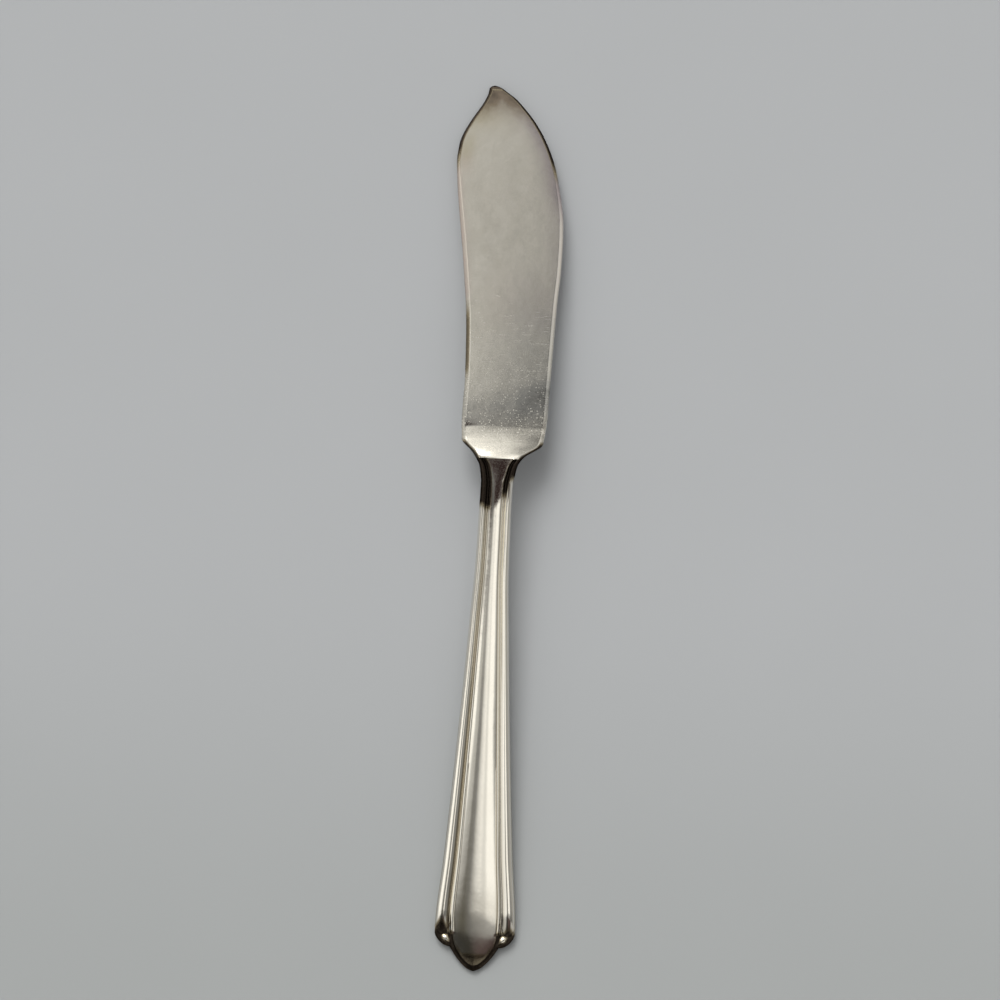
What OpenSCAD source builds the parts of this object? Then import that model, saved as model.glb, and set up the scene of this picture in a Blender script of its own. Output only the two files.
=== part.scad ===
// Master butter knife: flat handled, struck in one piece and silver plated all over. Millimetres.
// It lies back up on a table: length along Y with the blade tip at +Y, z = 0 is the table top.
// Shapes are worked out with y = 0 on the heel crease and x = 0 on the handle's axis, then centred.

/* [Overall] */
// Blade length, from the heel crease to the tip
blade_len = 76.5; // [70:0.1:84]
// Handle length, from the heel crease to the pointed end
handle_len = 103.5; // [97:0.1:112]
// Rise of the arch: how far the neck stands higher than the handle's end
arch = 5.4; // [4:0.1:6.6]
// Thickness of the silver deposit
plate_t = 0.04; // [0.03:0.01:0.06]

/* [Blade] */
// Reach of the spine from the handle's axis, at the hump below the tip
spine_hump = 10.92; // [9.8:0.01:12]
// Reach of the spine at its hollow waist
spine_waist = 7.2; // [6.8:0.05:8]
// Reach of the butter edge from the handle's axis, at its bulge
edge_bulge = 11.46; // [10.9:0.01:12.6]
// Shift of the tip toward the spine
tip_shift = 4.1; // [3:0.1:5]
// Thickness at the heel end of the blade
blade_t = 1.7; // [1.4:0.05:2.1]
// Thickness near the tip
tip_t = 1.25; // [1:0.05:1.6]
// Width of the bevel along the blade's edges
bevel_w = 0.95; // [0.7:0.05:1.2]

/* [Heel and neck] */
// Width of the neck
neck_w = 6.5; // [5.6:0.1:7.4]
// Shift of the neck toward the butter edge
neck_shift = 0.15; // [0:0.05:0.3]
// Height of the heel crease above the middle surface, on the back
heel_back = 1.2; // [1:0.05:1.5]
// Height of the heel crease below the middle surface, on the front
heel_front = 2.3; // [1.8:0.05:2.6]
// Drop of the blade's middle surface below the neck's
heel_sink = 0.95; // [0.6:0.05:1.2]
// Fall of the ramp toward its two sides
heel_crown = 0.35; // [0:0.05:0.4]
// Length of the ramp that falls from the crease to the blade
ramp_len = 6.4; // [4.5:0.1:8]
// Slant of the ramp's foot, which lies nearer to the crease on the butter edge's side
ramp_slant = 0.12; // [0:0.01:0.2]

/* [Handle] */
// Greatest width, just above the end lobes
handle_w = 16.2; // [14.8:0.1:18]
// Thickness over the border beads
handle_t = 2.4; // [2:0.05:2.9]
// Width of the border at the neck
border_neck = 2.1; // [1.8:0.05:2.3]
// Width of the border at the end of the handle
border_end = 3.7; // [3.2:0.05:4]
// Depth of the border groove
groove_d = 0.42; // [0.2:0.02:0.6]
// Rise of the back panel's middle above its edges
crown = 0.4; // [0.2:0.02:0.6]
// Rise of the front panel's middle, low enough for the threads to reach the table first
crown_front = 0.1; // [0:0.02:0.12]
// Length of the pointed tongue beyond the end lobes
tongue_len = 4.85; // [3.85:0.1:5.85]
// Width of the tongue where it leaves the lobes
tongue_w = 10; // [9:0.1:10.4]
// Fall of the panel toward the pointed end
end_drop = 0.85; // [0.5:0.05:0.9]
// Height of the balls on the end lobes
lobe_h = 0.8; // [0.5:0.05:1]

/* [Hidden] */

// Places along the handle's end: lobes, finger tips of the beads, panel end and its point
lobe_y = tongue_len - handle_len;
lobe_r = 2.75;
finger_y = lobe_y + 2.2;
roll_y = lobe_y + 7.6;
panel_end_y = lobe_y + 3.3;
point_y = 1.05 - handle_len;
neck_y = -11;

// Places of the border's lines, as parts of its width: edge, round, bead, groove, thread, panel line
border_cols = [0, 0.05, 0.15, 0.4, 0.57, 0.74, 0.83, 0.92, 1];
// Places of the panel's lines, from its edge to the middle
panel_cols = [0.2, 0.55, 1];
bead_s = 0.4;
groove_s = 0.74;
thread_s = 0.92;
line_d = 0.14;

// Stations along the blade and the handle, closer together where the shape turns
blade_ys = concat([0, 0.7, 1.4, 2.1, 2.9, 3.6, 4.6, 5.6, 6.6, 7.8, 12, 20, 29],
    [for (f = [0.5, 0.58, 0.64, 0.727, 0.793, 0.837, 0.88, 0.925, 0.96]) f * blade_len],
    [for (d = [1.7, 0.75, 0.35, 0.07, 0]) blade_len - d]);
handle_ys = concat([-0.05, -1.4, -3.2, -5.4, -8, -11, -18, -30, -48, -66, -80],
    [for (d = [9.5, 7.6, 6.4, 5.2, 4.1, 3.1, 2.4, 1.7, 1, 0.5, 0.1, -0.1, -1, -2.2]) lobe_y + d],
    [for (d = [1.5, 0.7, 0.2, 0]) d - handle_len]);

function mix(a, b, t) = a + (b - a) * t;
function unit(t) = min(1, max(0, t));
// Quarter round: 0 at t = 0, level at t = 1
function rounded(t) = sqrt(1 - pow(1 - unit(t), 2));
// Soft step from 0 to 1
function eased(t) = (1 - cos(180 * unit(t))) / 2;

// Smooth curve through points [place, value], with no overshoot between them
function rate(p, i) = (p[i + 1][1] - p[i][1]) / (p[i + 1][0] - p[i][0]);
function lean(p, i) =
    i == 0 ? rate(p, 0) :
    i == len(p) - 1 ? rate(p, i - 1) :
    rate(p, i - 1) * rate(p, i) <= 0 ? 0 :
    2 * rate(p, i - 1) * rate(p, i) / (rate(p, i - 1) + rate(p, i));
function span(p, y, i = 0) = i >= len(p) - 2 || y < p[i + 1][0] ? i : span(p, y, i + 1);
function curve(p, y) =
    let (i = span(p, y), h = p[i + 1][0] - p[i][0], t = unit((y - p[i][0]) / h))
    p[i][1] * (1 + 2 * t) * pow(1 - t, 2) + h * lean(p, i) * t * pow(1 - t, 2)
    + p[i + 1][1] * t * t * (3 - 2 * t) + h * lean(p, i + 1) * t * t * (t - 1);

// Spine from the neck to the tip: round shoulder, hollow waist, hump and hook
half_neck = neck_w / 2;
spine = [[neck_y, half_neck - neck_shift], [-5, half_neck - 0.3], [-1.75, half_neck + 0.1], [-0.15, 4.1],
    [1.3, 5.1], [2.9, 6.75], [3.5, spine_waist - 0.02], [4.3, spine_waist + 0.08], [8.5, spine_waist + 0.26],
    [blade_len * 0.21, spine_waist], [blade_len * 0.34, spine_waist + 0.2],
    [blade_len * 0.51, spine_waist + 1.38], [blade_len * 0.685, spine_hump - 0.67],
    [blade_len * 0.73, spine_hump - 0.3], [blade_len * 0.793, spine_hump],
    [blade_len * 0.837, spine_hump - 0.36], [blade_len * 0.859, spine_hump - 0.83],
    [blade_len * 0.903, spine_hump - 2.55], [blade_len * 0.947, tip_shift + 2.15],
    [blade_len * 0.969, tip_shift + 1.3], [blade_len * 0.984, tip_shift + 0.95],
    [blade_len, tip_shift + 0.85]];
// Butter edge from the neck to the tip: round shoulder, long bulge and the slope to the tip
edge = [[neck_y, half_neck + neck_shift], [-5, half_neck + 0.3], [-3.4, half_neck + 0.57], [-1.4, 4.28],
    [-0.2, 4.96], [0.7, 5.83], [1.4, 6.93], [2.1, 8.06], [2.65, 8.82], [3.2, 9.2], [4.6, 9.47], [7.85, 9.88],
    [blade_len * 0.21, edge_bulge - 1.27], [blade_len * 0.425, edge_bulge - 0.57],
    [blade_len * 0.5, edge_bulge - 0.15], [blade_len * 0.58, edge_bulge],
    [blade_len * 0.64, edge_bulge - 0.12], [blade_len * 0.683, edge_bulge - 0.53],
    [blade_len * 0.727, edge_bulge - 1.22],
    [blade_len * 0.771, edge_bulge - 1.97], [blade_len * 0.814, edge_bulge - 3.05],
    [blade_len * 0.858, edge_bulge - 4.55], [blade_len * 0.902, edge_bulge - 6.58], [blade_len * 0.946, 2.12],
    [blade_len * 0.968, 0.42], [blade_len * 0.984, -1.3], [blade_len, 1.15 - tip_shift]];

// Handle outline: half width of the taper, of the end lobes and of the pointed tongue
taper = [[-handle_len, handle_w / 2], [lobe_y + 3.2, handle_w / 2], [-79.3, handle_w / 2 - 1.23],
    [-57, handle_w / 2 - 2.73], [-32.8, half_neck + 0.72], [-21, half_neck + 0.15], [neck_y, half_neck]];
function lobe_half(y) =
    let (u = unit((lobe_y + lobe_r - y) / lobe_r))
    handle_w / 2 - lobe_r * (1 - pow(1 - pow(u, 1.6), 0.625));
function tongue_half(y) = tongue_w / 2 * pow(unit((y + handle_len) / tongue_len), 0.58);
function handle_half(y) =
    y > lobe_y + lobe_r ? curve(taper, y) :
    y > lobe_y ? min(curve(taper, y), lobe_half(y)) :
    max(0.25, tongue_half(y));

// The nose of the blade closes in a small round
nose_r = 0.75;
function nose(y) = max(0.12, sqrt(1 - pow(unit((y - blade_len + nose_r) / nose_r), 2)));
function mid_x(y) =
    y > neck_y ? (curve(edge, y) - curve(spine, y)) / 2 :
    neck_shift * eased((y + 32) / (neck_y + 32));
function half_w(y) =
    y > neck_y ? (curve(edge, y) + curve(spine, y)) / 2 * nose(y) :
    handle_half(y);

// Ramp from the heel crease, 1, to the blade, 0
function ramp(y, x) = pow(unit(1 - (y + ramp_slant * x) / ramp_len), 1.3);

// Side view: the middle surface is level at the neck and falls straight down the blade and down the handle
peak = arch + handle_t / 2;
peak_y = 2;
bend = 11;
kink_y = -8;
kink_r = 2.2;
tip_sink = 0.34;
function blade_fall(y) = sqrt(pow(y - peak_y, 2) + bend * bend) - bend;
function handle_fall(y) = (sqrt(pow(y - kink_y, 2) + kink_r * kink_r) - (y - kink_y)) / 2;
function mid_z(y) =
    let (fall = (peak - tip_t / 2 - heel_sink + tip_sink) / blade_fall(blade_len))
    peak - fall * blade_fall(max(y, peak_y))
    - arch * handle_fall(y) / handle_fall(roll_y) - heel_sink * (1 - ramp(max(y, 0), 0));

// Panel outline: half width along the handle, ending in a pointed arch
function border_plain(y) =
    let (widening = pow(unit((neck_y - y) / (handle_len - 19)), 1.5), flare = 0.35 * pow(unit(1 + y / 8), 2))
    mix(border_neck, border_end, widening) - flare;
function panel_plain(y) = half_w(y) - border_plain(y);
function panel_half(y) =
    let (t = unit((panel_end_y - y) / (panel_end_y - point_y)))
    y > panel_end_y ? panel_plain(y) : max(0.1, panel_plain(panel_end_y) * pow(1 - t * t, 0.7));
function border(y) =
    y > 0 ? min(border_neck, 0.75 * half_w(y)) :
    half_w(y) - min(panel_half(y), 0.9 * half_w(y));

// Blade section: a flat strip with bevelled edges, and the crowned ramp up to the heel crease
function blade_flat(y) = mix(blade_t, tip_t, y / blade_len) / 2 * max(0.3, nose(y));
function blade_bevel(y, inset) =
    let (fine = mix(1, 0.45, eased((y / blade_len - 0.6) / 0.25)))
    let (width = min(bevel_w * fine * (1 + 0.4 * ramp(y, 0)), 0.7 * half_w(y)))
    mix(0.45 * rounded(inset / 0.12), 1, 1 - pow(1 - unit(inset / width), 2));
function blade_height(y, inset, heel, side) =
    let (x = half_w(y) - inset, rise = ramp(y, side * x))
    let (fall = heel_crown * 4 * rise * (1 - rise) * pow(x / half_w(y), 2))
    (mix(blade_flat(y), heel, rise) - fall) * blade_bevel(y, inset);

// Height of the border bead, which meets the heel's height at the neck
function bead(y, heel) = mix(handle_t / 2, heel, pow(unit(1 + y / 14), 2));
// Moulding across the border: bead, groove, thread, panel line
function moulding(y, s, heel) =
    s < bead_s ? bead(y, heel) * rounded(s / bead_s) :
    s < groove_s ? bead(y, heel) - groove_d * eased((s - bead_s) / (groove_s - bead_s)) :
    s < thread_s ? bead(y, heel) - groove_d * (1 - eased((s - groove_s) / (thread_s - groove_s))) :
    bead(y, heel) - line_d * eased((s - thread_s) / (1 - thread_s));

// The panel is cushioned, flattens into the neck and falls away toward the point
function panel_edge(y, heel) =
    bead(y, heel) - line_d - end_drop * pow(unit((roll_y - y) / (roll_y + handle_len)), 2);
function panel_height(y, t, rise, heel) =
    let (flat_neck = 1 - 0.85 * eased(1 + y / 10))
    panel_edge(y, heel) + rise * flat_neck * (1 - pow(1 - t, 2.4)) * min(1, panel_half(y) / 2.5);

// At the end the beads roll down like finger tips onto balls on the lobes; the threads run on beside them
function finger_roll(y, s) =
    let (tip = finger_y + 1.5 * pow((s - bead_s) / bead_s, 2), t = unit((y - tip) / (roll_y - tip)))
    mix(0.12, 1, pow(t * (2 - t), 0.75));
function finger(y, s, heel) =
    let (run_on = eased((s - 0.8) / 0.1) * eased((y - lobe_y - 0.6) / 2.6))
    moulding(y, s, heel) * mix(finger_roll(y, s), 1, run_on);
function ball(y, s) = lobe_h * sqrt(unit(1 - pow((y - lobe_y - 1.2) / 1.3, 2) - pow((s - 0.56) / 0.36, 2)));
function end_bevel(y, s, heel) = panel_edge(y, heel) * rounded(1 - (1 - s) * border(y) / bevel_w);
function end_rim(y) = 0.3 * rounded((y - lobe_y + 0.05) / 0.5);
function end_height(y, s, heel) =
    max(finger(y, s, heel), ball(y, s), end_bevel(y, s, heel), end_rim(y)) * rounded(s / 0.1);
// The tongue keeps a plain round bevel
function border_height(y, s, heel) =
    y < lobe_y ? panel_edge(y, heel) * rounded(s) :
    y > roll_y ? moulding(y, s, heel) :
    end_height(y, s, heel);

// Distances of a section's lines from its edge, and their heights above the middle surface, edge to middle
function insets(y) =
    let (b = border(y), w = half_w(y))
    concat([for (s = border_cols) s * b], [for (t = panel_cols) b + t * (w - b)]);
function heights(y, rise, heel, side) =
    y >= 0 ? [for (inset = insets(y)) blade_height(y, inset, heel, side)] :
    concat(
        [for (s = border_cols) border_height(y, s, heel)],
        [for (t = panel_cols) panel_height(y, t, rise, heel)]);

// A whole section, from the left edge over the back and round by the front, skin deep below the surface
function lowered(h, skin) = h < 0.001 ? 0 : max(h - skin, 0.5 * h);
function set_in(y) = unit((lobe_y - y) / tongue_len) - unit(10 * y / blade_len - 9);
function section(y, skin) =
    let (back_left = heights(y, crown, heel_back, -1), back_right = heights(y, crown, heel_back, 1))
    let (front_left = heights(y, crown_front, heel_front, -1))
    let (front_right = heights(y, crown_front, heel_front, 1))
    let (w = half_w(y), x = mid_x(y), z = mid_z(y), yy = y + skin * set_in(y), n = len(back_left) - 1)
    let (reach = [for (inset = insets(y)) (w - skin) * (1 - inset / w)])
    concat(
        [for (i = [0 : n]) [x - reach[i], yy, z + lowered(back_left[i], skin)]],
        [for (i = [n - 1 : -1 : 0]) [x + reach[i], yy, z + lowered(back_right[i], skin)]],
        [for (i = [1 : n]) [x + reach[i], yy, z - lowered(front_right[i], skin)]],
        [for (i = [n - 1 : -1 : 1]) [x - reach[i], yy, z - lowered(front_left[i], skin)]]);

stations = concat([for (i = [len(handle_ys) - 1 : -1 : 0]) handle_ys[i]], blade_ys);
outer = [for (y = stations) each section(y, 0)];
ring = len(section(0, 0));
rows = len(stations);
// Centres the part on the origin and stands it on the table
place = -[
    (max([for (p = outer) p[0]]) + min([for (p = outer) p[0]])) / 2,
    (max([for (p = outer) p[1]]) + min([for (p = outer) p[1]])) / 2,
    min([for (p = outer) p[2]])];

// The struck body, or the body lying a given depth below its surface
module body(skin) {
    points = [for (y = stations) each section(y, skin)];
    side = [for (r = [0 : rows - 2]) for (c = [0 : ring - 1])
        let (a = r * ring + c, b = r * ring + (c + 1) % ring)
        each [[a, b + ring, b], [a, a + ring, b + ring]]];
    first = [for (c = [0 : ring - 1]) c];
    last = [for (c = [ring - 1 : -1 : 0]) (rows - 1) * ring + c];
    translate(place)
        polyhedron(points, concat(side, [first, last]));
}

// Base-metal knife, struck in one piece
module nickel_silver_blank() {
    color("tan")
        body(plate_t);
}

// Electroplated skin all over the blank
module silver_plate() {
    color("silver")
        difference() {
            body(0);
            body(plate_t);
        }
}

nickel_silver_blank();
silver_plate();
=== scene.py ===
"""Looks of the silver-plated master butter knife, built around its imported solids, in metres."""

import math

import bpy
import numpy as np
from mathutils import Matrix, Vector


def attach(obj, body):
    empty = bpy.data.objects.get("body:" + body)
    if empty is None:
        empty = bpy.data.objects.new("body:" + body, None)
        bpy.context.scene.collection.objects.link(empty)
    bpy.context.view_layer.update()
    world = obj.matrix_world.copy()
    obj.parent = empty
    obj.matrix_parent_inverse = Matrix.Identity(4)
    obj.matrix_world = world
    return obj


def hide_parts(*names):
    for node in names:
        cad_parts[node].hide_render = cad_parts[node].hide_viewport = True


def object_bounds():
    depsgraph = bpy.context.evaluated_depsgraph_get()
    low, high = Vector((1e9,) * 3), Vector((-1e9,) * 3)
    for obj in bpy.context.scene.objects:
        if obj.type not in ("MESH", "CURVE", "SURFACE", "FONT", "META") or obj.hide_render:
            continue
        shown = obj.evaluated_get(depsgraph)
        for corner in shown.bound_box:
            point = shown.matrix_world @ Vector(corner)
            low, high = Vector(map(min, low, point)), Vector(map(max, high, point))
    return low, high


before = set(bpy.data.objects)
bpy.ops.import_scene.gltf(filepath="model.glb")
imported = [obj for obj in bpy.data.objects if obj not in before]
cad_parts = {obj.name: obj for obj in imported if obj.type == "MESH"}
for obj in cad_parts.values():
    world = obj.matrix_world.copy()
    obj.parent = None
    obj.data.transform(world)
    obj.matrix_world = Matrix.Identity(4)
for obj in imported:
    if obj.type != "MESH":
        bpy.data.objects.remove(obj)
cad_box = [list(corner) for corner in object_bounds()]

# Driving sizes of the knife in millimetres, as in the solids
BLADE_LEN = 76.5
HANDLE_LEN = 103.5
ARCH = 5.4
PLATE_T = 0.04
SPINE_HUMP = 10.92
SPINE_WAIST = 7.2
EDGE_BULGE = 11.46
TIP_SHIFT = 4.1
BLADE_T = 1.7
TIP_T = 1.25
NECK_W = 6.5
NECK_SHIFT = 0.15
HEEL_BACK = 1.2
HEEL_FRONT = 2.3
HEEL_SINK = 0.95
HEEL_CROWN = 0.35
RAMP_LEN = 6.4
RAMP_SLANT = 0.12
HANDLE_W = 16.2
HANDLE_T = 2.4
BORDER_NECK = 2.1
BORDER_END = 3.7
GROOVE_D = 0.42
CROWN = 0.4
CROWN_FRONT = 0.1
TONGUE_LEN = 4.85
TONGUE_W = 10.0
END_DROP = 0.85
LOBE_H = 0.8

# Places worked out from them: y = 0 on the heel crease, x = 0 on the handle's axis
LOBE_Y = TONGUE_LEN - HANDLE_LEN
LOBE_R = 2.75
FINGER_Y = LOBE_Y + 2.2
ROLL_Y = LOBE_Y + 7.6
PANEL_END_Y = LOBE_Y + 3.3
POINT_Y = 1.05 - HANDLE_LEN
NECK_Y = -11.0
NECK_END_Y = -14.0
HEEL_END_Y = 7.0
TIP_START_Y = 56.0
PEAK_Y = 2.0
KINK_Y = -8.0
KINK_R = 2.2
PEAK = ARCH + HANDLE_T / 2
BEND = 11.0
TIP_SINK = 0.34
NOSE_R = 0.75
BEVEL_W = 0.95
LINE_D = 0.14
CREASE_GAP = 0.05
LOBE_GAP = 0.02

# Shares of the border's width, from the edge, where the bead, the groove and the thread end or turn
BEAD_S = 0.4
GROOVE_S = 0.74
THREAD_S = 0.92
FINGER_S = 0.4

# Places along the centred knife in metres
MM = 0.001
HEEL_AT = (HANDLE_LEN - BLADE_LEN) / 2 * MM
HUMP_AT = HEEL_AT + 60.5 * MM
TIP_AT = HEEL_AT + 70.5 * MM

FLOOR_SIZE = 3.0
SHARP_ANGLE = math.radians(40)

# Photograph: 1000 pixels square; the camera stands far off, leaning a little to the handle
CAMERA_DISTANCE = 550.0
CAMERA_LEAN = math.radians(-2.0)
CAMERA_ROLL = math.radians(2.665)
CAMERA_TARGET = (0.783, 5.32, 3.0)
FOCAL_PIXELS = 2716.2
IMAGE_PIXELS = 1000.0
SENSOR_MM = 36.0


def mix(a, b, t):
    return a + (b - a) * t


def unit(t):
    return np.clip(t, 0.0, 1.0)


def rounded(t):
    """Quarter round: 0 at t = 0, level at t = 1."""
    return np.sqrt(1 - (1 - unit(t)) ** 2)


def eased(t):
    """Soft step from 0 to 1."""
    return (1 - np.cos(np.pi * unit(t))) / 2


def curve(points, y):
    """Smooth curve through points (place, value), with no overshoot between them."""
    p = np.array(points, float)
    y = np.asarray(y, float)
    step = np.diff(p[:, 0])
    rate = np.diff(p[:, 1]) / step
    lean = np.zeros(len(p))
    lean[0] = rate[0]
    lean[-1] = rate[-1]
    same = rate[:-1] * rate[1:] > 0
    total = np.where(same, rate[:-1] + rate[1:], 1.0)
    lean[1:-1] = np.where(same, 2 * rate[:-1] * rate[1:] / total, 0.0)
    i = np.clip(np.searchsorted(p[:, 0], y, side="right") - 1, 0, len(p) - 2)
    h = step[i]
    t = unit((y - p[i, 0]) / h)
    return (p[i, 1] * (1 + 2 * t) * (1 - t) ** 2 + h * lean[i] * t * (1 - t) ** 2
            + p[i + 1, 1] * t * t * (3 - 2 * t) + h * lean[i + 1] * t * t * (t - 1))


# Blade outline from the neck to the tip: the spine hollows, humps and hooks, the edge bulges
HALF_NECK = NECK_W / 2
SPINE = [
    (NECK_Y, HALF_NECK - NECK_SHIFT), (-5, HALF_NECK - 0.3), (-1.75, HALF_NECK + 0.1),
    (-0.15, 4.1), (1.3, 5.1), (2.9, 6.75), (3.5, SPINE_WAIST - 0.02), (4.3, SPINE_WAIST + 0.08),
    (8.5, SPINE_WAIST + 0.26), (BLADE_LEN * 0.21, SPINE_WAIST),
    (BLADE_LEN * 0.34, SPINE_WAIST + 0.2), (BLADE_LEN * 0.51, SPINE_WAIST + 1.38),
    (BLADE_LEN * 0.685, SPINE_HUMP - 0.67), (BLADE_LEN * 0.73, SPINE_HUMP - 0.3),
    (BLADE_LEN * 0.793, SPINE_HUMP),
    (BLADE_LEN * 0.837, SPINE_HUMP - 0.36), (BLADE_LEN * 0.859, SPINE_HUMP - 0.83),
    (BLADE_LEN * 0.903, SPINE_HUMP - 2.55), (BLADE_LEN * 0.947, TIP_SHIFT + 2.15),
    (BLADE_LEN * 0.969, TIP_SHIFT + 1.3), (BLADE_LEN * 0.984, TIP_SHIFT + 0.95),
    (BLADE_LEN, TIP_SHIFT + 0.85),
]
EDGE = [
    (NECK_Y, HALF_NECK + NECK_SHIFT), (-5, HALF_NECK + 0.3), (-3.4, HALF_NECK + 0.57),
    (-1.4, 4.28), (-0.2, 4.96), (0.7, 5.83), (1.4, 6.93), (2.1, 8.06), (2.65, 8.82), (3.2, 9.2),
    (4.6, 9.47), (7.85, 9.88),
    (BLADE_LEN * 0.21, EDGE_BULGE - 1.27), (BLADE_LEN * 0.425, EDGE_BULGE - 0.57),
    (BLADE_LEN * 0.5, EDGE_BULGE - 0.15), (BLADE_LEN * 0.58, EDGE_BULGE),
    (BLADE_LEN * 0.64, EDGE_BULGE - 0.12), (BLADE_LEN * 0.683, EDGE_BULGE - 0.53),
    (BLADE_LEN * 0.727, EDGE_BULGE - 1.22), (BLADE_LEN * 0.771, EDGE_BULGE - 1.97),
    (BLADE_LEN * 0.814, EDGE_BULGE - 3.05), (BLADE_LEN * 0.858, EDGE_BULGE - 4.55),
    (BLADE_LEN * 0.902, EDGE_BULGE - 6.58), (BLADE_LEN * 0.946, 2.12), (BLADE_LEN * 0.968, 0.42),
    (BLADE_LEN * 0.984, -1.3), (BLADE_LEN, 1.15 - TIP_SHIFT),
]
# Half width of the handle's taper
TAPER = [
    (-HANDLE_LEN, HANDLE_W / 2), (LOBE_Y + 3.2, HANDLE_W / 2), (-79.3, HANDLE_W / 2 - 1.23),
    (-57, HANDLE_W / 2 - 2.73), (-32.8, HALF_NECK + 0.72), (-21, HALF_NECK + 0.15), (NECK_Y, HALF_NECK),
]


def handle_half(y):
    """Half width of the handle: its taper, the end lobes and the pointed tongue."""
    taper = curve(TAPER, y)
    lobe = HANDLE_W / 2 - LOBE_R * (1 - (1 - unit((LOBE_Y + LOBE_R - y) / LOBE_R) ** 1.6) ** 0.625)
    tongue = np.maximum(0.25, TONGUE_W / 2 * unit((y + HANDLE_LEN) / TONGUE_LEN) ** 0.58)
    return np.where(y > LOBE_Y + LOBE_R, taper, np.where(y > LOBE_Y, np.minimum(taper, lobe), tongue))


def nose(y):
    """Share of its width that the blade keeps as its tip closes in a small round."""
    return np.maximum(0.12, np.sqrt(1 - unit((y - BLADE_LEN + NOSE_R) / NOSE_R) ** 2))


def mid_x(y):
    blade = (curve(EDGE, y) - curve(SPINE, y)) / 2
    return np.where(y > NECK_Y, blade, NECK_SHIFT * eased((y + 32) / (NECK_Y + 32)))


def half_w(y):
    return np.where(y > NECK_Y, (curve(EDGE, y) + curve(SPINE, y)) / 2 * nose(y), handle_half(y))


def ramp(y, x=0.0):
    """Ramp from the heel crease, 1, to the blade, 0; it ends sooner on the edge's side."""
    return unit(1 - (y + RAMP_SLANT * x) / RAMP_LEN) ** 1.3


def blade_fall(y):
    return np.sqrt((y - PEAK_Y) ** 2 + BEND * BEND) - BEND


def handle_fall(y):
    return (np.sqrt((y - KINK_Y) ** 2 + KINK_R * KINK_R) - (y - KINK_Y)) / 2


def mid_z(y):
    """Height of the middle surface: level at the neck, straight down the blade and down the handle."""
    on_blade = np.maximum(y, PEAK_Y)
    blade = (PEAK - TIP_T / 2 - HEEL_SINK + TIP_SINK) * blade_fall(on_blade) / blade_fall(BLADE_LEN)
    handle = ARCH * handle_fall(y) / handle_fall(ROLL_Y)
    return PEAK - np.where(y > PEAK_Y, blade, 0) - handle - HEEL_SINK * (1 - ramp(np.maximum(y, 0)))


def border_plain(y):
    flare = 0.35 * unit(1 + y / 8) ** 2
    return mix(BORDER_NECK, BORDER_END, unit((NECK_Y - y) / (HANDLE_LEN - 19)) ** 1.5) - flare


def panel_half(y):
    """Half width of the panel, which ends in a pointed arch."""
    t = unit((PANEL_END_Y - y) / (PANEL_END_Y - POINT_Y))
    start = half_w(PANEL_END_Y) - border_plain(PANEL_END_Y)
    arch = np.maximum(0.04, start * (1 - t * t) ** 0.7)
    return np.where(y > PANEL_END_Y, half_w(y) - border_plain(y), arch)


def border(y):
    blade = np.minimum(BORDER_NECK, 0.75 * half_w(y))
    handle = half_w(y) - np.minimum(panel_half(y), 0.9 * half_w(y))
    return np.where(y > 0, blade, handle)


def blade_height(y, inset, heel, side):
    """Flat strip with full round edges, and the ramp up to the heel crease."""
    flat = mix(BLADE_T, TIP_T, y / BLADE_LEN) / 2 * np.maximum(0.3, nose(y))
    x = half_w(y) - inset
    rise = ramp(y, side * x)
    crown = HEEL_CROWN * 4 * rise * (1 - rise) * (x / half_w(y)) ** 2
    width = BEVEL_W * (1 + 0.4 * ramp(y)) * mix(1, 0.45, eased((y / BLADE_LEN - 0.6) / 0.25))
    bevel = 1 - (1 - unit(inset / np.minimum(width, 0.7 * half_w(y)))) ** 2
    return (mix(flat, heel, rise) - crown) * mix(0.45 * rounded(inset / 0.12), 1, bevel)


def bead(y, heel):
    """Height of the border bead, thicker at the neck."""
    return mix(HANDLE_T / 2, heel, unit(1 + y / 14) ** 2)


def moulding(y, s, heel):
    """Across the border: bead, groove, thread, panel line."""
    top = bead(y, heel)
    outer = top * rounded(s / BEAD_S)
    groove = top - GROOVE_D * eased((s - BEAD_S) / (GROOVE_S - BEAD_S))
    thread = top - GROOVE_D * (1 - eased((s - GROOVE_S) / (THREAD_S - GROOVE_S)))
    line = top - LINE_D * eased((s - THREAD_S) / (1 - THREAD_S))
    return np.where(s < BEAD_S, outer, np.where(s < GROOVE_S, groove, np.where(s < THREAD_S, thread, line)))


def panel_edge(y, heel):
    return bead(y, heel) - LINE_D - END_DROP * unit((ROLL_Y - y) / (ROLL_Y + HANDLE_LEN)) ** 2


def panel_height(y, t, rise, heel):
    """The panel is cushioned, flattens into the neck and falls away toward the point."""
    flat_neck = 1 - 0.85 * eased(1 + y / 10)
    return panel_edge(y, heel) + rise * flat_neck * (1 - (1 - t) ** 2.4) * np.minimum(1, panel_half(y) / 2.5)


def end_height(y, s, heel):
    """The beads roll down like finger tips onto the lobes, beside the panel's bevel."""
    tip = FINGER_Y + 1.5 * ((s - FINGER_S) / FINGER_S) ** 2
    t = unit((y - tip) / (ROLL_Y - tip))
    roll = mix(0.12, 1, (t * (2 - t)) ** 0.75)
    finger = moulding(y, s, heel) * mix(roll, 1, eased((s - 0.8) / 0.1) * eased((y - LOBE_Y - 0.6) / 2.6))
    ball = LOBE_H * np.sqrt(unit(1 - ((y - LOBE_Y - 1.2) / 1.3) ** 2 - ((s - 0.56) / 0.36) ** 2))
    bevel = panel_edge(y, heel) * rounded(1 - (1 - s) * border(y) / BEVEL_W)
    rim = 0.3 * rounded((y - LOBE_Y + 0.05) / 0.5)
    return np.maximum(np.maximum(finger, ball), np.maximum(bevel, rim)) * rounded(s / 0.1)


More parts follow.
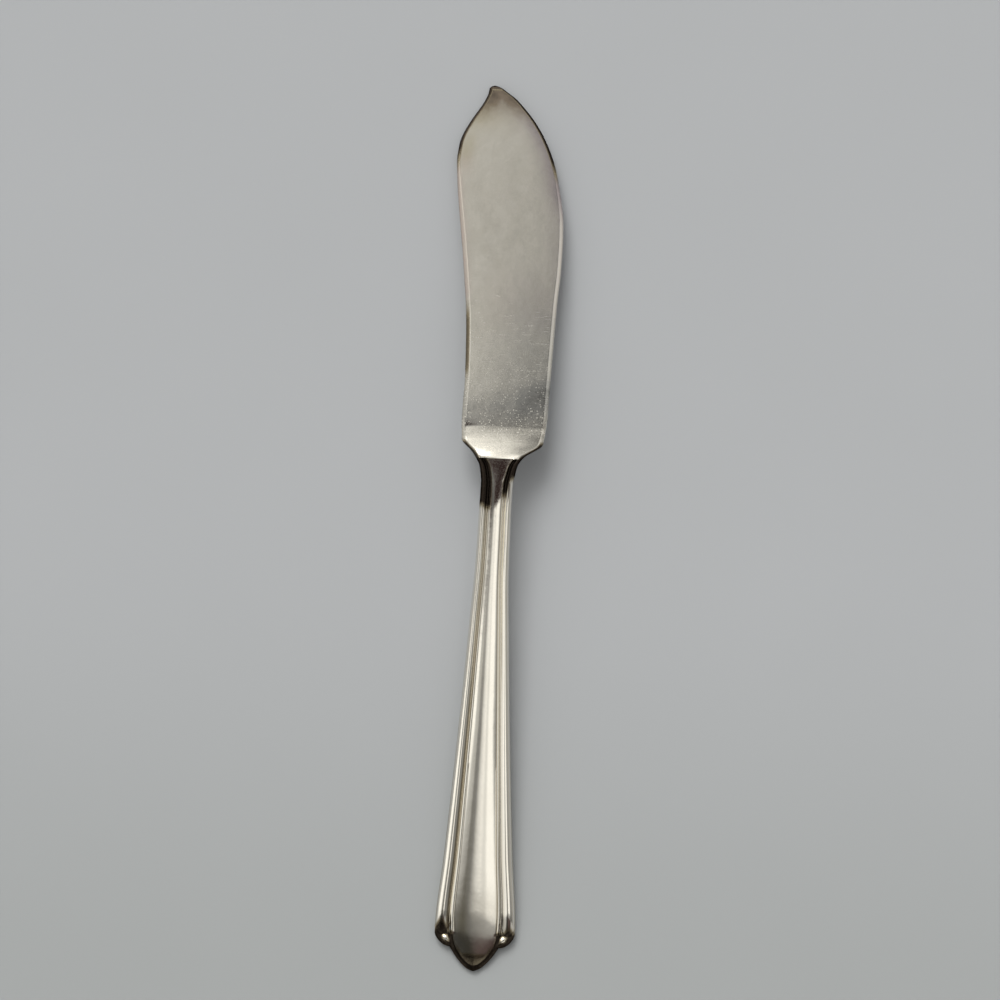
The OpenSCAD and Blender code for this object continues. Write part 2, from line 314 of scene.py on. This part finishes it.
def border_height(y, s, heel):
    """The tongue keeps a plain bevel."""
    tongue = panel_edge(y, heel) * rounded(s)
    return np.where(y < LOBE_Y, tongue, np.where(y > ROLL_Y, moulding(y, s, heel), end_height(y, s, heel)))


def stations():
    """Places along the knife, closer together where the shape turns."""
    quarter = np.pi / 2
    roll_end = ROLL_Y + 2
    tongue = (HANDLE_LEN + LOBE_Y - LOBE_GAP) * (1 - np.cos(np.linspace(0, quarter, 40))) - HANDLE_LEN
    fingers = np.linspace(LOBE_Y + LOBE_GAP, roll_end, 84)
    handle = np.linspace(roll_end, NECK_END_Y, 44)[1:]
    neck = np.linspace(NECK_END_Y, -CREASE_GAP, 44)[1:]
    heel = np.linspace(0, HEEL_END_Y, 40)
    blade = np.linspace(HEEL_END_Y, TIP_START_Y, 36)[1:]
    tip = np.linspace(TIP_START_Y, BLADE_LEN - NOSE_R, 44)[1:]
    point = BLADE_LEN - NOSE_R + NOSE_R * np.sin(np.linspace(0, quarter, 14))[1:]
    return np.concatenate([tongue, fingers, handle, neck, heel, blade, tip, point])


def columns():
    """Places across half a section: parts of the border's width, then parts of the panel's half width."""
    bead_s = BEAD_S * (1 - np.cos(np.linspace(0, np.pi / 2, 10)))
    return np.concatenate([bead_s, np.linspace(BEAD_S, 1, 26)[1:]]), np.linspace(0, 1, 15)[1:]


def half_section(y, rise, heel, side):
    """Insets from the edge and heights above the middle surface at every place y, edge to middle."""
    s, t = (part[None, :] for part in columns())
    b = border(y)[:, None]
    w = half_w(y)[:, None]
    yy = y[:, None]
    outer = s * b
    inner = b + t * (w - b)
    on_blade = yy >= 0
    outer_h = np.where(on_blade, blade_height(yy, outer, heel, side), border_height(yy, s, heel))
    inner_h = np.where(on_blade, blade_height(yy, inner, heel, side), panel_height(yy, t, rise, heel))
    return np.concatenate([outer, inner], 1), np.concatenate([outer_h, inner_h], 1)


def ring_of(left, right, front_right, front_left):
    """One closed ring from four half sections, each from the edge to the middle."""
    return np.concatenate([left, right[:, -2::-1], front_right[:, 1:], front_left[:, -2:0:-1]], 1)


def body_points(skin):
    """Rings of points of the struck body lying skin millimetres below its surface."""
    y = stations()
    halves = []
    for rise, heel, side in ((CROWN, HEEL_BACK, -1), (CROWN, HEEL_BACK, 1),
                             (CROWN_FRONT, HEEL_FRONT, 1), (CROWN_FRONT, HEEL_FRONT, -1)):
        inset, height = half_section(y, rise, heel, side)
        halves.append(np.where(height < 0.001, 0, np.maximum(height - skin, 0.5 * height)))
    w = half_w(y)[:, None]
    reach = (w - skin) * (1 - inset / w)
    x, z = mid_x(y)[:, None], mid_z(y)[:, None]
    xs = ring_of(x - reach, x + reach, x + reach, x - reach)
    zs = ring_of(z + halves[0], z + halves[1], z - halves[2], z - halves[3])
    set_in = unit((LOBE_Y - y) / TONGUE_LEN) - unit(10 * y / BLADE_LEN - 9)
    ys = (y + skin * set_in)[:, None] + 0 * xs
    return np.stack([xs, ys, zs], -1)


def body_faces(rows, ring, first_point, outward):
    """Quads between the rings and the two end caps."""
    def turned(face):
        return face if outward else face[::-1]
    faces = []
    for r in range(rows - 1):
        for c in range(ring):
            a = first_point + r * ring + c
            b = first_point + r * ring + (c + 1) % ring
            faces.append(turned((a, b, b + ring, a + ring)))
    faces.append(turned(tuple(range(first_point + ring - 1, first_point - 1, -1))))
    last = first_point + (rows - 1) * ring
    faces.append(turned(tuple(range(last, last + ring))))
    return faces


def placed_shells():
    """Outer and inner shells in metres, centred as the solids are and standing on the table."""
    outer = body_points(0.0)
    inner = body_points(PLATE_T)
    low, high = (np.array(corner) for corner in cad_box)
    shift = np.array([(low[0] + high[0]) / 2, (low[1] + high[1]) / 2, low[2]]) / MM
    shift -= [(outer[..., 0].max() + outer[..., 0].min()) / 2,
              (outer[..., 1].max() + outer[..., 1].min()) / 2, outer[..., 2].min()]
    return (outer + shift) * MM, (inner + shift) * MM


def add_mesh(name, points, faces, material):
    mesh = bpy.data.meshes.new(name)
    mesh.from_pydata(points.tolist(), [], faces)
    mesh.validate()
    mesh.shade_smooth()
    mesh.set_sharp_from_angle(angle=SHARP_ANGLE)
    mesh.materials.append(material)
    piece = bpy.data.objects.new(name, mesh)
    bpy.context.scene.collection.objects.link(piece)
    return piece


# Patina, tarnish and painted shade by place: y along the knife and inset from the rim in millimetres, s
# across from the rim,
# 0, to the panel line, 1, and on to the middle, 2; side is -1 for the spine's side and 1 for the edge's
def strongest(*marks):
    """The greatest of several marks at each point."""
    return np.maximum.reduce(np.broadcast_arrays(*marks))


def bump(offset, width, power=2):
    """1 in the middle, falling to 0 past the width, steeper with a higher power."""
    return np.exp(-(offset / width) ** power)


def handle_patina_and_shade(y, s, side):
    """Dark patina in the handle's groove and panel line, painted shade on its rim, its end and its neck, with
    the two lobes left bright.
    """
    spine_side = side < 0
    depth = 0.32 + 0.3 * unit((-20 - y) / 70) if spine_side else 0.2
    groove = depth * eased((s - 0.54) / 0.12) * eased((0.83 - s) / 0.08)
    line = (0.12 if spine_side else 0.42) * eased((s - 0.93) / 0.05) * eased((1.1 - s) / 0.1)
    # Painted shade on the outer rim, the end, the lip, the finger tips and the tongue's point.
    rim = 0.35 * eased((0.06 - s) / 0.04) * unit((-20 - y) / 50)
    end = 0.95 * eased((LOBE_Y + 4.0 - y) / 1.6) * ((s < 1) | (y < POINT_Y + 0.25))
    lip = 0.8 * eased((1.3 - s) / 0.25) * (s >= 1) * eased((LOBE_Y + 1 - y) / 2)
    almond = LOBE_Y + (6.6 if spine_side else 5.2) - 2.2 * ((s - 0.34) / 0.36) ** 2
    finger = 0.95 * eased((almond - y) / 2) * eased((0.8 - s) / 0.12)
    point = (0.85 if spine_side else 0.7) * eased((POINT_Y + 3.1 - y) / 1.1)
    # Painted shade over the neck, wider on the spine's side.
    inward = eased((s - 0.3) / 0.3)
    reach = 10.6 + 0.6 * inward if spine_side else 5.2 + 3.4 * inward
    neck = eased((y + reach) / 2.2) * (eased((1.25 - s) / 0.2) if spine_side else s < 1)
    dark = strongest(groove, line, rim, end, lip, finger, point, neck)
    lobe = bump(y - LOBE_Y - 1.7, 0.6, 4) * bump(s - 0.55, 0.16, 4)
    return dark * (1 - 0.95 * lobe) * (y < -0.01)


def blade_painted_shade(y, inset, side):
    """Painted shade on the blade's rims: its shoulders, a stretch of the spine, the tip."""
    near_rim = eased((0.85 - inset) / 0.3)
    shoulder = 0.95 * near_rim * eased((4.0 - y) / 1.2) * (y > -0.01)
    # Painted shade along a stretch of the spine's rim.
    wear_and_shade = 0.7 * near_rim * eased((y - 15) / 4) * eased((33 - y) / 6) * (side < 0)
    tip_rim = bump(inset, 0.7, 10) * eased((y - (57 if side < 0 else 55)) / 7)
    tip_end = eased((y - BLADE_LEN + 1.1) / 0.5)
    return strongest(shoulder, wear_and_shade, tip_rim, tip_end)


def blade_film_and_shade(y, inset, side):
    """Thin tarnish of the blade: pink spine, stained hump, hazy edge, dark tip; painted shade on the blade
    near the heel, with a painted dark band across it.
    """
    pink = 0.28 * bump(inset, 1.1) * eased((y - 28) / 6) * (side < 0)
    hump = 0.27 * bump(y - 62.5, 4) * bump(inset - 1.6, 1.7) * (side < 0)
    edge_haze = bump(inset, 3.2)
    haze = 0.18 * edge_haze * (y > 20) + 0.34 * bump(inset, 2.3) * eased((y - 46) / 10)
    haze = np.maximum(haze, 0.17 * edge_haze * eased((y - 9) / 10)) * (side > 0)
    tip = 0.75 * eased((y - 64) / 11) * np.exp(-inset / 6)
    # Painted shade: the right of the blade near the heel, and a dark band across the heel.
    across = side * (1 - inset / inset.max(axis=1, keepdims=True))
    painted_shade_right = 0.24 * eased(0.55 + 0.5 * across) * bump(y - 23, 14, 4)
    shade = (0.2 + 0.42 * eased((across + 0.6) / 1.6)) * bump(y - 10.8 - 2.5 * across, 4.2)
    return strongest(pink, hump, haze, tip, painted_shade_right, shade * eased((y - 5) / 3))


def surface_marks():
    """Amounts of dark patina with painted shade, and of tarnish film with painted shade, at each point of the
    outer shell.
    """
    y = stations()[:, None]
    s, t = (part[None, :] for part in columns())
    s = np.concatenate([s, 1 + t], 1)
    inset = half_section(stations(), CROWN, HEEL_BACK, 1)[0]
    panel_spots = 0.16 * bump(y + 91, 4) * (s >= 1)
    patinas_and_shades, films_and_shades = [], []
    for side in (-1, 1):
        patinas_and_shades.append(np.maximum(handle_patina_and_shade(y, s, side), blade_painted_shade(y, inset, side)))
        films_and_shades.append(np.where(y > 0, blade_film_and_shade(y, inset, side), panel_spots))
    return [ring_of(left, right, right, left) for left, right in (patinas_and_shades, films_and_shades)]


def add_node(tree, kind, inputs=(), **settings):
    """A node with its settings, and each input either linked or set."""
    node = tree.nodes.new(kind)
    for name, value in settings.items():
        setattr(node, name, value)
    for key, value in inputs:
        if isinstance(value, bpy.types.NodeSocket):
            tree.links.new(value, node.inputs[key])
        else:
            node.inputs[key].default_value = value
    return node


def math_node(tree, operation, first, second):
    return add_node(tree, "ShaderNodeMath", [(0, first), (1, second)], operation=operation).outputs[0]


def times(tree, first, second):
    return math_node(tree, "MULTIPLY", first, second)


def soft_step(tree, value, start, width):
    """0 below start, 1 above it, over a soft width."""
    return add_node(tree, "ShaderNodeMapRange", [
        ("Value", value), ("From Min", start - width / 2), ("From Max", start + width / 2),
    ], interpolation_type="SMOOTHSTEP").outputs["Result"]


def range_node(tree, value, low, high, to_low=0.0, to_high=1.0):
    """Straight ramp from to_low at low to to_high at high, level outside them."""
    return add_node(tree, "ShaderNodeMapRange", [
        ("Value", value), ("From Min", low), ("From Max", high), ("To Min", to_low), ("To Max", to_high),
    ]).outputs["Result"]


def mix_node(tree, share, first, second, blend="MIX"):
    return add_node(tree, "ShaderNodeMix", [(0, share), (6, first), (7, second)],
                    data_type="RGBA", blend_type=blend).outputs[2]


def noise_node(tree, place, scale, detail=2.0, rough=0.5):
    return add_node(tree, "ShaderNodeTexNoise", [
        ("Vector", place), ("Scale", scale), ("Detail", detail), ("Roughness", rough)]).outputs["Fac"]


def start_material(name):
    """A new material, its node tree, its shader and the object's own coordinates."""
    material = bpy.data.materials.new(name)
    material.use_nodes = True
    tree = material.node_tree
    place = add_node(tree, "ShaderNodeTexCoord").outputs["Object"]
    return material, tree, tree.nodes["Principled BSDF"], place


# Tones of the plate: clean and worn metal, thin tarnish and painted shade by its place, patina and painted
# shade, and both where they lie thick
WHITE = (1.0, 1.0, 1.0, 1)
SILVER_DULL = (0.80, 0.765, 0.685, 1)
SILVER_CLEAR = (0.87, 0.84, 0.76, 1)
WORN = (0.94, 0.94, 0.93, 1)
FINE_WORN = (0.93, 0.93, 0.925, 1)
FILM_HANDLE = (0.42, 0.39, 0.33, 1)
HEEL_FILM_AND_SHADE = (0.46, 0.455, 0.43, 1)
FILM_SPINE = (0.70, 0.57, 0.51, 1)
FILM_HUMP = (0.60, 0.54, 0.37, 1)
EDGE_FILM_AND_SHADE = (0.50, 0.45, 0.45, 1)
FILM_TIP = (0.33, 0.27, 0.21, 1)
THICK_FILM_AND_SHADE = (0.04, 0.034, 0.03, 1)
THIN_PATINA_AND_SHADE = (0.34, 0.29, 0.20, 1)
THICK_PATINA_AND_SHADE = (0.036, 0.028, 0.022, 1)
THICK_SHEEN = (0.12, 0.10, 0.09, 1)
STAIN = (0.36, 0.36, 0.34, 1)
# Tones of the other materials
NICKEL_DULL = (0.64, 0.60, 0.50, 1)
NICKEL_CLEAR = (0.74, 0.70, 0.60, 1)
FLOOR_NEAR_SHADED = (0.403, 0.423, 0.432, 1)
FLOOR_FAR = (0.463, 0.481, 0.504, 1)
FLOOR_CLOUD = (0.97, 0.97, 0.97, 1)


def heel_share(tree, along, blade):
    """The flat of the blade near its heel, 1, fading out along the blade; little of it is on the ramp."""
    near_heel = times(tree, blade, range_node(tree, along, HEEL_AT + 8 * MM, HEEL_AT + 26 * MM, 1.0, 0.0))
    return times(tree, near_heel, range_node(tree, along, HEEL_AT + 4 * MM, HEEL_AT + 6.5 * MM, 0.25, 1.0))


def dot_pattern(tree, place):
    """Small round dots in some of the cells of a fine cell texture."""
    cells = add_node(tree, "ShaderNodeTexVoronoi", [("Vector", place), ("Scale", 2300.0)])
    core = range_node(tree, cells.outputs["Distance"], 0.34, 0.16)
    return times(tree, core, soft_step(tree, cells.outputs["Color"], 0.46, 0.2))


def scratch_pattern(tree, place):
    """Fine strokes in two directions."""
    strokes = []
    for turn, level in ((0.35, 0.71), (-0.95, 0.72)):
        turned = add_node(tree, "ShaderNodeMapping", [
            ("Vector", place), ("Rotation", (0, 0, turn)), ("Scale", (230, 6500, 230))])
        stroke = noise_node(tree, turned.outputs[0], 1.0, 1.0)
        strokes.append(range_node(tree, stroke, level - 0.02, level + 0.03, 0.0, 0.6))
    return math_node(tree, "MAXIMUM", *strokes)


def clean_tone(tree, place, blade, mottle, speck):
    """Warm metal in soft clouds, with fine wear on the blade."""
    tone = mix_node(tree, noise_node(tree, place, 130.0, 3.0), SILVER_DULL, SILVER_CLEAR)
    wear_and_shade = mix_node(tree, range_node(tree, mottle, 0.35, 0.65), WORN, WHITE)
    fine_worn = mix_node(tree, range_node(tree, speck, 0.35, 0.65), FINE_WORN, WHITE)
    wear_and_shade = mix_node(tree, 1.0, wear_and_shade, fine_worn, "MULTIPLY")
    return mix_node(tree, blade, tone, mix_node(tree, 1.0, tone, wear_and_shade, "MULTIPLY"))


def film_and_shade_hue(tree, across, along, blade):
    """Colour of thin tarnish and of the painted shade on the blade, by its place on the knife."""
    spine = mix_node(tree, soft_step(tree, along, HUMP_AT, 8 * MM), FILM_SPINE, FILM_HUMP)
    hue = mix_node(tree, soft_step(tree, across, 0.0, 8 * MM), spine, EDGE_FILM_AND_SHADE)
    hue = mix_node(tree, soft_step(tree, along, HEEL_AT + 30 * MM, 20 * MM), HEEL_FILM_AND_SHADE, hue)
    hue = mix_node(tree, soft_step(tree, along, TIP_AT, 7 * MM), hue, FILM_TIP)
    return mix_node(tree, blade, FILM_HANDLE, hue)


def silver_material():
    """Worn silver plate: patina in the recesses, painted shade on rims, neck, ends and the blade near the
    heel, tarnish at the tip, specks and scratches by the heel.
    """
    material, tree, shader, place = start_material("worn_silver_plate")
    shader.inputs["Metallic"].default_value = 1.0
    patina_and_shade = add_node(tree, "ShaderNodeAttribute", attribute_name="patina_and_shade").outputs["Fac"]
    film_and_shade = add_node(tree, "ShaderNodeAttribute", attribute_name="film_and_shade").outputs["Fac"]
    split = add_node(tree, "ShaderNodeSeparateXYZ", [(0, place)])
    across, along = split.outputs["X"], split.outputs["Y"]
    grain = noise_node(tree, place, 2600.0, 2.0, 0.7)
    speck = noise_node(tree, place, 4200.0, 2.0, 0.6)
    mottle = noise_node(tree, place, 300.0, 5.0, 0.7)
    blade = soft_step(tree, along, HEEL_AT, 4 * MM)
    heel = heel_share(tree, along, blade)
    specks = times(tree, heel, dot_pattern(tree, place))

    # Painted shade rides in both marks: with the tarnish on the blade, and with the patina on rims, neck and
    # ends.
    film_and_shade = times(tree, film_and_shade, range_node(tree, mottle, 0.3, 0.7, 0.7, 1.3))
    film_and_shade = times(tree, film_and_shade, range_node(tree, specks, 0.0, 1.0, 1.0, 0.1))
    thick_film_and_shade = range_node(tree, film_and_shade, 0.5, 0.95)
    film_and_shade_tone = mix_node(tree, thick_film_and_shade, film_and_shade_hue(tree, across, along, blade), THICK_FILM_AND_SHADE)
    dark = times(tree, patina_and_shade, range_node(tree, grain, 0.3, 0.7, 0.93, 1.05))
    thick_dark = range_node(tree, dark, 0.5, 0.95)
    dark_tone = mix_node(tree, thick_dark, THIN_PATINA_AND_SHADE, THICK_PATINA_AND_SHADE)
    stain = times(tree, heel, range_node(tree, speck, 0.50, 0.34, 0.0, 0.5))
    tone = clean_tone(tree, place, blade, mottle, speck)
    tone = mix_node(tree, range_node(tree, film_and_shade, 0.0, 0.45), tone, film_and_shade_tone)
    tone = mix_node(tree, range_node(tree, dark, 0.0, 0.5), tone, dark_tone)
    tree.links.new(mix_node(tree, stain, tone, STAIN), shader.inputs["Base Color"])
    # Where patina, tarnish and painted shade lie thick, the reflection is dimmed too.
    thick = math_node(tree, "MAXIMUM", thick_film_and_shade, thick_dark)
    tree.links.new(mix_node(tree, thick, WHITE, THICK_SHEEN), shader.inputs["Specular Tint"])

    handle_rough = range_node(tree, grain, 0.3, 0.7, 0.07, 0.13)
    blade_rough = range_node(tree, speck, 0.3, 0.7, 0.13, 0.20)
    rough = add_node(tree, "ShaderNodeMix", [(0, blade), (2, handle_rough), (3, blade_rough)]).outputs[0]
    scratched = times(tree, blade, range_node(tree, along, HEEL_AT + 30 * MM, HEEL_AT + 55 * MM, 0.6, 0.08))
    scratches = times(tree, scratch_pattern(tree, place), scratched)
    marks = math_node(tree, "MAXIMUM", specks, scratches)
    worn_end = range_node(tree, along, HEEL_AT - 83 * MM, HEEL_AT - 92 * MM, 0.0, 0.022)
    worn_end = times(tree, worn_end, range_node(tree, speck, 0.3, 0.7, 0.4, 1.6))
    for more in (times(tree, marks, 0.3), times(tree, patina_and_shade, 0.18), worn_end):
        rough = math_node(tree, "ADD", rough, more)
    tree.links.new(rough, shader.inputs["Roughness"])

    waves = noise_node(tree, place, 260.0)
    dents = add_node(tree, "ShaderNodeBump", [("Height", waves), ("Distance", 0.014 * MM)])
    fine_dents = add_node(tree, "ShaderNodeBump", [
        ("Height", grain), ("Distance", 0.0012 * MM), ("Normal", dents.outputs["Normal"])])
    tree.links.new(fine_dents.outputs["Normal"], shader.inputs["Normal"])
    return material


def nickel_silver_material():
    """Plain base metal, hidden under the plate."""
    material, tree, shader, place = start_material("nickel_silver")
    shader.inputs["Metallic"].default_value = 1.0
    grain = noise_node(tree, place, 900.0, 3.0)
    tree.links.new(mix_node(tree, grain, NICKEL_DULL, NICKEL_CLEAR), shader.inputs["Base Color"])
    tree.links.new(range_node(tree, grain, 0.3, 0.7, 0.28, 0.42), shader.inputs["Roughness"])
    return material


def floor_material():
    """Dull pale floor, with painted shade making it a little darker by the handle's end."""
    material, tree, shader, place = start_material("pale_floor")
    shader.inputs["Roughness"].default_value = 0.9
    shader.inputs["Specular IOR Level"].default_value = 0.1
    along = add_node(tree, "ShaderNodeSeparateXYZ", [(0, place)]).outputs["Y"]
    # Painted shade: the floor darkens toward the handle's end.
    tone = mix_node(tree, soft_step(tree, along, -50 * MM, 100 * MM), FLOOR_NEAR_SHADED, FLOOR_FAR)
    cloud = mix_node(tree, noise_node(tree, place, 25.0), FLOOR_CLOUD, WHITE)
    tree.links.new(mix_node(tree, 1.0, tone, cloud, "MULTIPLY"), shader.inputs["Base Color"])
    return material


# Studio light by direction: bands along the knife, each a row of soft cards across it. A band is its start,
# an angle from the plane across the knife (+ toward the tip), its soft width, its slope, its reach and its
# cards. The start shifts by the slope times the angle across, within the reach, and the band lasts until the
# next one. A card is its angle across, from straight up (+ to the right), its radiance and its tint, if it
# isn't warm.
WARM = (1.0, 0.985, 0.95)
COOL = (1.0, 1.01, 1.01)
DUSK = (1.0, 0.70, 0.66)
RUST = (1.0, 0.48, 0.42)
OLIVE = (1.0, 0.93, 0.72)
BANDS = [
    (-90, 10, 0, 1, [(-90, 0.6), (90, 0.5)]),
    (-46, 6, 0, 1, [
        (-90, 0.5), (-50, 0.5), (-34, 0.05), (-3, 0.03, OLIVE), (3, 0.09, DUSK), (20, 0.08, DUSK),
        (32, 0.05, DUSK), (50, 0.5), (90, 0.5)]),
    (-21, 2, -0.1, 15, [
        (-90, 0.5), (-66, 1.0), (-33, 1.0), (-25, 0.2), (-12, 0.12, OLIVE), (-4, 0.18), (2, 0.32),
        (20, 0.36), (36, 0.16), (62, 0.16), (80, 0.4), (90, 0.4)]),
    (-14.4, 2, -0.14, 15, [
        (-90, 0.6), (-76, 0.8), (-62, 1.2), (-33, 1.2), (-27, 0.62), (-17, 0.52), (-14, 0.24), (-7, 0.24),
        (-2, 0.78), (1, 1.1), (5, 0.84), (7.5, 0.88), (11, 1.2), (24, 1.2), (29, 0.5), (36, 0.25),
        (62, 0.25), (80, 0.4), (90, 0.4)]),
    (-8.3, 2, 0, 1, [
        (-90, 0.6), (-76, 0.8), (-62, 1.3), (-30, 1.3), (-26, 0.62), (-17, 0.55), (-13, 0.42), (-7, 0.45),
        (-3, 0.9), (1, 1.1), (5, 0.95), (10, 1.2), (27, 1.2), (33, 0.5), (40, 0.38), (90, 0.4)]),
    (-3.7, 1, 0.1, 18, [
        (-90, 0.3), (-66, 0.6), (-40, 0.7), (-30, 0.05, DUSK), (-16, 0.13), (-9, 0.13), (-5, 0.03, RUST),
        (0, 0.022, RUST), (30, 0.05, DUSK), (50, 0.3), (90, 0.4)]),
    (6, 4, 0, 1, [
        (-90, 0.3), (-66, 0.5), (-24, 0.6), (-14, 0.6, COOL), (-3, 0.95, COOL), (0, 0.16, COOL),
        (2, 0.06, COOL), (8, 0.06, COOL), (16, 0.8), (55, 0.8), (75, 0.4), (90, 0.4)]),
    (11.4, 2, 1.9, 1.4, [
        (-90, 0.3), (-66, 0.5), (-24, 0.6), (-12, 0.9), (-4, 1.1), (-1.2, 0.75), (2.5, 0.1), (8, 0.1),
        (16, 0.8), (55, 0.8), (75, 0.4), (90, 0.4)]),
    (15, 4, 0, 1, [
        (-90, 0.3), (-66, 0.5), (-24, 0.6), (-12, 0.7), (-4, 0.64), (4, 0.14), (8, 0.15), (16, 0.75),
        (55, 0.75), (75, 0.4), (90, 0.4)]),
    (18.5, 3, 0, 1, [
        (-90, 0.3), (-66, 0.6), (-24, 0.65), (-12, 0.75), (-4, 0.7), (-0.5, 0.53), (4, 0.25), (8, 0.25),
        (16, 0.7), (55, 0.7), (75, 0.4), (90, 0.4)]),
    (23, 2, 0.1, 18, [
        (-90, 0.3), (-50, 1.0), (-42, 2.0), (-26, 2.0), (-14, 1.0), (-8, 0.95), (0, 0.52), (8, 0.4),
        (20, 0.55), (90, 0.4)]),
    (26.5, 2, 0.1, 18, [
        (-90, 0.3), (-50, 1.0), (-42, 3.2), (-24, 3.2), (-15, 1.3), (-8, 1.15), (0, 0.68), (8, 0.82),
        (20, 0.55), (90, 0.4)]),
    (29.5, 2, 0.1, 18, [
        (-90, 0.3), (-50, 1.0), (-42, 4.4), (-22, 4.4), (-14, 1.2), (-8, 1.0), (5, 0.86), (9, 1.1),
        (20, 0.6), (90, 0.4)]),
    (32, 1.5, 0.1, 18, [
        (-90, 0.3), (-50, 1.0), (-42, 4.8), (-20, 4.8), (-13, 1.1), (0, 1.05), (10, 1.4), (16, 0.8),
        (90, 0.4)]),
    (37.5, 5, 0, 1, [(-90, 0.3), (-50, 1.0), (-44, 6.0), (-4, 6.0), (6, 1.0), (14, 0.5), (90, 0.4)]),
    (43, 5, 0, 1, [(-90, 0.6), (-46, 1.5), (-38, 12.0), (-6, 12.0), (3, 1.0), (90, 0.6)]),
    (60, 10, 0, 1, [(-90, 0.6), (-50, 2.4), (0, 1.0), (90, 0.7)]),
]


def card_row(tree, share, cards):
    """Row of cards across the knife, from -90 to 90 degrees as the share goes from 0 to 1."""
    node = add_node(tree, "ShaderNodeValToRGB", [("Fac", share)])
    elements = node.color_ramp.elements
    while len(elements) < len(cards):
        elements.new(0.5)
    for element, (angle, level, *tint) in zip(elements, cards):
        element.position = (angle + 90) / 180
        element.color = [level * part for part in (tint[0] if tint else WARM)] + [1]
    return node.outputs["Color"]


def studio_world():
    """Plain room of soft cards that the metal mirrors and that lights the floor."""
    world = bpy.data.worlds.new("studio")
    bpy.context.scene.world = world
    world.use_nodes = True
    tree = world.node_tree
    place = add_node(tree, "ShaderNodeTexCoord").outputs["Generated"]
    split = add_node(tree, "ShaderNodeSeparateXYZ", [(0, place)])
    degrees = 180 / math.pi
    turned = math_node(tree, "ARCTAN2", split.outputs["X"], split.outputs["Z"])
    across = times(tree, turned, degrees)
    along = times(tree, math_node(tree, "ARCSINE", split.outputs["Y"], 0.0), degrees)
    share = range_node(tree, across, -90.0, 90.0)
    total = None
    for start, width, slope, reach, cards in BANDS:
        row = card_row(tree, share, cards)
        shift = range_node(tree, across, -reach, reach, -reach * slope, reach * slope)
        begun = soft_step(tree, math_node(tree, "SUBTRACT", along, shift), start, width)
        total = row if total is None else mix_node(tree, begun, total, row)
    tree.links.new(total, tree.nodes["Background"].inputs["Color"])


def add_camera():
    """Camera that looks down on the knife as the photograph does."""
    target = Vector(CAMERA_TARGET) * MM
    back = Vector((0, math.tan(CAMERA_LEAN), 1)).normalized()
    side = Vector((0, 1, 0)).cross(back).normalized()
    up = back.cross(side)
    right = side * math.cos(CAMERA_ROLL) + up * math.sin(CAMERA_ROLL)
    above = up * math.cos(CAMERA_ROLL) - side * math.sin(CAMERA_ROLL)
    data = bpy.data.cameras.new("camera")
    data.sensor_width = SENSOR_MM
    data.lens = FOCAL_PIXELS / IMAGE_PIXELS * SENSOR_MM
    data.clip_start = 0.01
    camera = bpy.data.objects.new("camera", data)
    turn = Matrix((right, above, back)).transposed().to_4x4()
    camera.matrix_world = Matrix.Translation(target + back * CAMERA_DISTANCE * MM) @ turn
    bpy.context.scene.collection.objects.link(camera)
    bpy.context.scene.camera = camera


outer_points, inner_points = placed_shells()
rows, ring = outer_points.shape[:2]
count = rows * ring
outer_points = outer_points.reshape(-1, 3)
inner_points = inner_points.reshape(-1, 3)

skin_points = np.concatenate([outer_points, inner_points])
skin_faces = body_faces(rows, ring, 0, True) + body_faces(rows, ring, count, False)
plate = add_mesh("plate_skin", skin_points, skin_faces, silver_material())
for name, amount in zip(("patina_and_shade", "film_and_shade"), surface_marks()):
    values = np.concatenate([amount.ravel(), np.zeros(count)])
    plate.data.attributes.new(name, "FLOAT", "POINT").data.foreach_set("value", values)
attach(plate, "root")
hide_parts("silver_plate")

blank_faces = body_faces(rows, ring, 0, True)
blank = add_mesh("struck_blank", inner_points, blank_faces, nickel_silver_material())
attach(blank, "root")
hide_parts("nickel_silver_blank")

bpy.ops.mesh.primitive_plane_add(size=FLOOR_SIZE, location=(0, 0, cad_box[0][2]))
floor = bpy.context.object
floor.name = "floor"
floor.data.materials.append(floor_material())

studio_world()
add_camera()
bpy.context.scene.view_settings.view_transform = "Standard"
